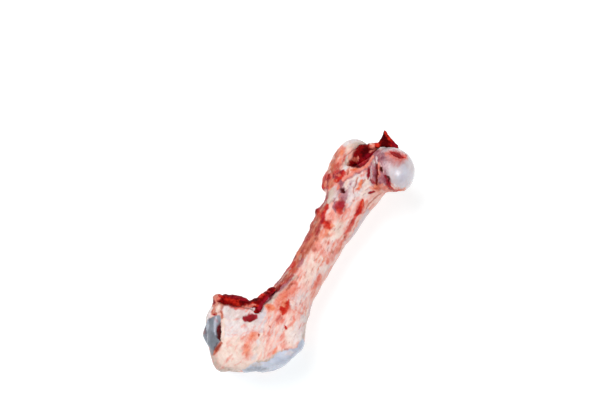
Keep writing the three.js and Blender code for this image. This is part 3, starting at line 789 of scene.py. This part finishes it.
BONE_PULLS = [
    # reach, path, step
    (13, [(318, 201), (312, 214), (306, 228), (301, 239), (295, 250), (288, 262), (281, 273), (273, 285)], (3.1, 1.8)),
    (5, [(317, 211)], (-2.4, -1)),
    (5, [(311.5, 225)], (-1.3, -0.6)),
    (9, [(322, 186), (323, 194), (320, 200)], (2.2, 0.4)),
    (20, [(303, 316), (301, 330), (299, 345)], (3, 0.6)),
    (10, [(230, 374), (243, 375), (253, 374)], (0, -2.8)),
    (10, [(249, 297), (256, 294), (263, 290)], (0.3, 2.4)),
    (11, [(384, 196), (391, 195), (397, 194)], (-0.3, -3.2)),
]
FLAP_PULLS = [
    (13, [(368, 137), (374, 137)], (0.5, 5)),
    (9, [(377, 137), (381, 133)], (1.8, 1.8)),
    (9, [(390, 133), (397, 141)], (-1.8, 0.8)),
    (5, [(401, 148)], (-2.5, -1)),
    (5, [(385, 132)], (0.2, -2.4)),
]
bone_skin = start_skin(femur, "bone")
pull(bone_skin, BONE_PULLS)
SHEETS = SHAFT_SHEETS + KNEE_SHEETS + HIP_SHEETS
DETAILS = SHAFT_MARKS + KNEE_MARKS + KNOB_MARKS + PIT_MARKS + NECK_MARKS
bone_skin["height"] += 0.3 * ripple(bone_skin["points"], 5, 3) + 0.2 * ripple(bone_skin["points"], 2.2, 4)
mottle(bone_skin, "salmon", 2.5, 21, 0.6)
mottle(bone_skin, "silverskin", 2, 22, 0.6)
joint_cartilage(bone_skin)
hidden_marks(bone_skin, 5)
paint(bone_skin, SHEETS)
for seed, count, tissues, path, spread, half_width, length, settings in BUNDLES:
    strands(bone_skin, seed, count, tissues, path, spread, half_width, length, **settings)
mottle(bone_skin, "salmon", 1.3, 24, 0.25, rare=0.25)
mottle(bone_skin, "silverskin", 1.3, 25, 0.2, rare=0.3)
paint(bone_skin, DETAILS)
print("marks:", HIDDEN_MARKS + len(SHEETS + DETAILS))

# %% [markdown]
# ## The ball
# The ball of the hip wears a cap of pearly cartilage a millimetre thick. The bone under it is sunk by that much,
# and the cap is a ball of its own whose radius falls off past an uneven rim, so it closes under the bone.
# A red pit near its top held the round ligament.

# %% Cap the ball
BALL_RADIUS = 16.8
BALL_CENTRE = np.array((77.8, -25.5, 44))
NECK_AXIS = np.array((0.605, -0.555, 0.569))
CAP_ANGLE = math.radians(84)
CAP_THICKNESS = 1.1

from_ball = bone_skin["points"] - BALL_CENTRE
radius = np.linalg.norm(from_ball, axis=1)
cap_cosine = from_ball @ NECK_AXIS / np.maximum(radius, 1)
under_cap = smooth_step(math.cos(CAP_ANGLE) + 0.02, math.cos(CAP_ANGLE) + 0.2, cap_cosine)
near_ball = smooth_step(BALL_RADIUS + 2, BALL_RADIUS + 0.8, radius)
bone_skin["height"] -= (CAP_THICKNESS + 0.5) * under_cap * near_ball


def cartilage_cap():
    mesh = bpy.data.meshes.new("hip_cartilage")
    bm = bmesh.new()
    bmesh.ops.create_icosphere(bm, subdivisions=7, radius=BALL_RADIUS)
    for vertex in bm.verts:
        direction = vertex.co.normalized()
        angle = direction.angle(Vector(NECK_AXIS))
        rim = CAP_ANGLE + 0.06 * noise.noise(direction * 3) + 0.03 * noise.noise(direction * 9)
        sink = smooth_step(rim - 0.07, rim + 0.12, angle)
        lumps = 0.12 * noise.noise(direction * 2.5)
        vertex.co = direction * (BALL_RADIUS - 0.12 - 2.6 * float(sink) + lumps)
    bmesh.ops.translate(bm, verts=bm.verts, vec=Vector(BALL_CENTRE))
    bmesh.ops.scale(bm, verts=bm.verts, vec=(MM, MM, MM))
    bm.to_mesh(mesh)
    bm.free()
    return new_piece("hip_cartilage", mesh)


FOVEA_MARKS = [
    ("raw", 3.6, [(391, 151.3), (397, 153.2), (404.5, 156.8)], {"soft": 0.3, "taper": 0.5}),
    ("crimson", 2.7, [(391, 151.3), (397, 153.2), (404, 156.3)], {"soft": 0.5, "strength": 0.6}),
    ("meat", 2.1, [(395, 153), (401, 155.5)], {"soft": 0.8, "strength": 0.7}),
]
BALL_MARKS = [
    ("cartilage", 10, [(404, 170), (402, 180)], {"soft": 0.9, "strength": 0.5}),
    ("purple", 6, [(377, 153), (381, 156)], {"soft": 0.7}),
    ("purple", 5, [(384, 156), (392, 160), (402, 162)], {"soft": 0.9, "strength": 0.5}),
    ("salmon", 4, [(388, 159), (396, 162), (403, 161)], {"soft": 0.9, "strength": 0.35}),
    # lilac on the ball's left side: partly the capsule's tint, partly painted shade on the side away from the lamp
    ("purple", 8, [(380, 160), (384, 172)], {"soft": 0.9, "strength": 0.85}),
    ("crimson", 4, [(378, 155), (380, 158)], {"soft": 0.9, "strength": 0.3}),
    ("salmon", 2.5, [(385, 153), (389, 154)], {"soft": 0.8, "strength": 0.8}),
    ("salmon", 4, [(391, 154), (399, 156), (405, 157)], {"soft": 0.6, "taper": 0.3, "strength": 0.8}),
    ("raw", 4.4, [(391, 153), (398, 155), (405, 157)], {"soft": 0.9, "taper": 0.3, "strength": 0.6}),
    ("raw", 3.6, [(391, 151.3), (397, 153.2), (404.5, 156.8)], {"height": -2.6, "soft": 0.25, "taper": 0.5}),
    ("salmon", 2.4, [(390, 184), (394, 187), (399, 188)], {"soft": 0.8, "strength": 0.8}),
    ("silverskin", 1.4, [(394, 184), (397, 187)], {"soft": 0.7}),
]
paint(bone_skin, FOVEA_MARKS)
cap = cartilage_cap()
cap_skin = start_skin(cap, "pearl")
pull(cap_skin, BONE_PULLS)
paint(cap_skin, HIP_SHEETS + BALL_MARKS + NECK_MARKS)

# %% [markdown]
# ## Scraps of muscle
# Raw muscle is bundles of wet fibre. Each scrap starts from its solid, is swollen by the bit that the
# solid stands clear of the bone, and gets ridges along one direction by noise that is stretched that way.
# Its crests are painted brighter red and its hollows almost black, as painted light and shade.

# %% Dress the scraps
SCRAP_SWELL = 0.65


def scrap(node, name, along, depth, seed, pulls, marks):
    """A scrap of muscle with fibres along a direction. Ridges are as deep as given, in millimetres."""
    piece = fine_skin(node, name, 0.35, 6)
    skin = start_skin(piece, "meat")
    pull(skin, pulls)
    direction = np.array(Vector(along).normalized())
    lengthwise = (skin["points"] @ direction)[:, None] * direction
    fibres = ripple(skin["points"] - 0.8 * lengthwise, 0.9, seed)
    lumps = ripple(skin["points"], 2.6, seed + 1)
    skin["height"] += SCRAP_SWELL + depth * (0.5 * fibres + 0.8 * lumps)
    # brighter red on the crests and almost black in the hollows: painted light and shade that follow the ridges
    cover(skin, "raw", 0.7 * smooth_step(0.15, 0.6, lumps + 0.4 * fibres))
    cover(skin, "dark", 0.8 * smooth_step(0.1, 0.6, -lumps - 0.5 * fibres))
    paint(skin, marks)
    return skin


FLAP_MARKS = [
    ("raw", 3.4, [(375, 142.5), (378, 145)], {"soft": 0.5}),
    ("orange", 1.6, [(374, 142.5), (376, 141.5)], {"soft": 0.8, "strength": 0.8}),
    ("salmon", 2.2, [(371, 144), (373.5, 147.5)], {"soft": 0.6}),
    ("fat", 1.2, [(371, 144), (372, 145)], {"soft": 0.8, "strength": 0.7}),
    ("dark", 4.5, [(384.5, 137), (385, 145)], {"soft": 0.6, "taper": 0}),
    ("raw", 1.4, [(385.5, 131), (388.5, 137), (392, 142)], {"soft": 0.7, "strength": 0.7}),
    ("crimson", 1.6, [(392, 143), (397, 146)], {"soft": 0.7, "strength": 0.8}),
]
PIT_EDGE_MARKS = [
    ("sinew", 4, [(346, 163), (349, 155), (354, 149), (359, 143.5), (366, 141)],
     {"soft": 0.4, "taper": 0, "height": 1.1}),
    ("silverskin", 2.5, [(347, 158), (351, 151), (356, 146)], {"soft": 0.7, "strength": 0.8}),
    ("salmon", 2.2, [(350, 160), (352, 155), (357, 149)], {"soft": 0.7, "strength": 0.5}),
]
STRIP_MARKS = [
    ("crimson", 2, [(226, 297), (240, 298), (248, 301)], {"strength": 0.5, "soft": 0.8}),
    ("raw", 2, [(226, 299), (236, 303), (240, 306)], {"soft": 0.7, "strength": 0.6}),
    # dark red along the strip's lower part: dark meat, partly painted shade on its underside
    ("dark", 1.4, [(239, 301), (249, 302.5), (258, 299)], {"soft": 0.6, "strength": 0.7}),
    ("raw", 2.4, [(258, 297), (263, 295)], {"soft": 0.7, "strength": 0.9}),
    ("salmon", 3.2, [(215, 298), (220, 299)]),
    ("brown", 1.6, [(217, 296), (217, 300)], {"strength": 0.4}),
    ("raw", 1.5, [(219, 295.5), (223, 296.5)]),
    ("silverskin", 2.4, [(241, 310), (248, 308.5), (254, 309)], {"soft": 0.5}),
    ("salmon", 1.4, [(240, 308), (248, 306), (255, 305)], {"soft": 0.8, "strength": 0.8}),
    ("brown", 1.2, [(279, 285), (274, 291)]),
    ("crimson", 2.4, [(278, 289), (271, 296), (264, 302), (259, 308)], {"soft": 0.5, "taper": 0.2}),
    ("purple", 1.2, [(276, 293), (269, 299), (264, 304)], {"soft": 0.6}),
    ("dark", 1.2, [(274, 292), (269, 297)], {"soft": 0.8, "strength": 0.6}),
    ("sinew", 1.6, [(278, 294), (272, 299), (266, 304)], {"soft": 0.5}),
]
PIECES = [
    # node, piece, direction of the fibres, depth of the ridges, seed, pulls, marks
    ("fossa_meat", "pit_muscle", (0.85, -0.45, 0.2), 0.6, 11, FLAP_PULLS, PIT_EDGE_MARKS + PIT_MARKS + FLAP_MARKS[:4]),
    ("hip_flap", "hip_flap_muscle", (1, 0, 0.3), 0.3, 23, FLAP_PULLS, FLAP_MARKS),
    ("knee_meat", "knee_muscle", (0.5, -0.85, 0), 0.6, 37, BONE_PULLS, STRIP_MARKS),
]
scraps = {node: scrap(node, *rest) for node, *rest in PIECES}

# %% Finish the pieces
low, high = cad_box
bone_material = tissue_material("fresh bone skin", TISSUES, 1.3, gloss=0.22, wet=0.05, shine="#ffdcd8")
meat_material = tissue_material("raw muscle", TISSUES, 1.3, gloss=0.12, wet=0, shine="#ffa8a0")
cap_material = tissue_material("joint cartilage", TISSUES, 1.1, gloss=0.28, wet=1)
finish_skin(bone_skin, bone_material, low, high)
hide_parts("femur")
finish_skin(cap_skin, cap_material, low, high)
for node, skin in scraps.items():
    finish_skin(skin, meat_material, low, high)
    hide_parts(node)
for piece in [femur, cap] + [skin["piece"] for skin in scraps.values()]:
    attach(piece, "root")

# %% [markdown]
# ## Studio
# The bone lies on white, in soft light. A large lamp from the back left gives the faint shadow at the near right,
# and a smaller one from the right puts the pale highlight on the ball.

# %% Floor and lights
FLOOR_WIDTH = 4
floor_mesh = bpy.data.meshes.new("floor")
bm = bmesh.new()
bmesh.ops.create_grid(bm, x_segments=1, y_segments=1, size=FLOOR_WIDTH / 2)
bm.to_mesh(floor_mesh)
bm.free()
floor = new_piece("floor", floor_mesh)
floor_material = bpy.data.materials.new("white board")
floor_material.use_nodes = True
floor_shader = floor_material.node_tree.nodes["Principled BSDF"]
floor_shader.inputs["Base Color"].default_value = colour("#c8cecf")
floor_shader.inputs["Roughness"].default_value = 0.8
floor_shader.inputs["Emission Color"].default_value = (1, 1, 1, 1)
floor_shader.inputs["Emission Strength"].default_value = 0.56
floor_mesh.materials.append(floor_material)


def softbox(name, towards, distance, size, power):
    """A square lamp that looks at the bone. Towards is in the picture's right, up and eye directions."""
    lamp = bpy.data.objects.new(name, bpy.data.lights.new(name, "AREA"))
    lamp.data.size = size
    lamp.data.energy = power
    x, y, z = towards
    direction = (picture_right * x + picture_up * y + towards_eye * z).normalized()
    lamp.matrix_world = Matrix.LocRotScale(
        MID_SHAFT + direction * distance, direction.to_track_quat("Z", "Y"), None)
    bpy.context.scene.collection.objects.link(lamp)


softbox("back left lamp", (-0.5, 0.6, 1), 1.5, 1, 17)
softbox("right lamp", (0.55, -0.15, 0.9), 1.6, 0.6, 9)
world = bpy.data.worlds.new("studio")
world.use_nodes = True
world.node_tree.nodes["Background"].inputs["Color"].default_value = (1, 1, 1, 1)
world.node_tree.nodes["Background"].inputs["Strength"].default_value = 0.25
bpy.context.scene.world = world
bpy.context.scene.view_settings.view_transform = "Standard"
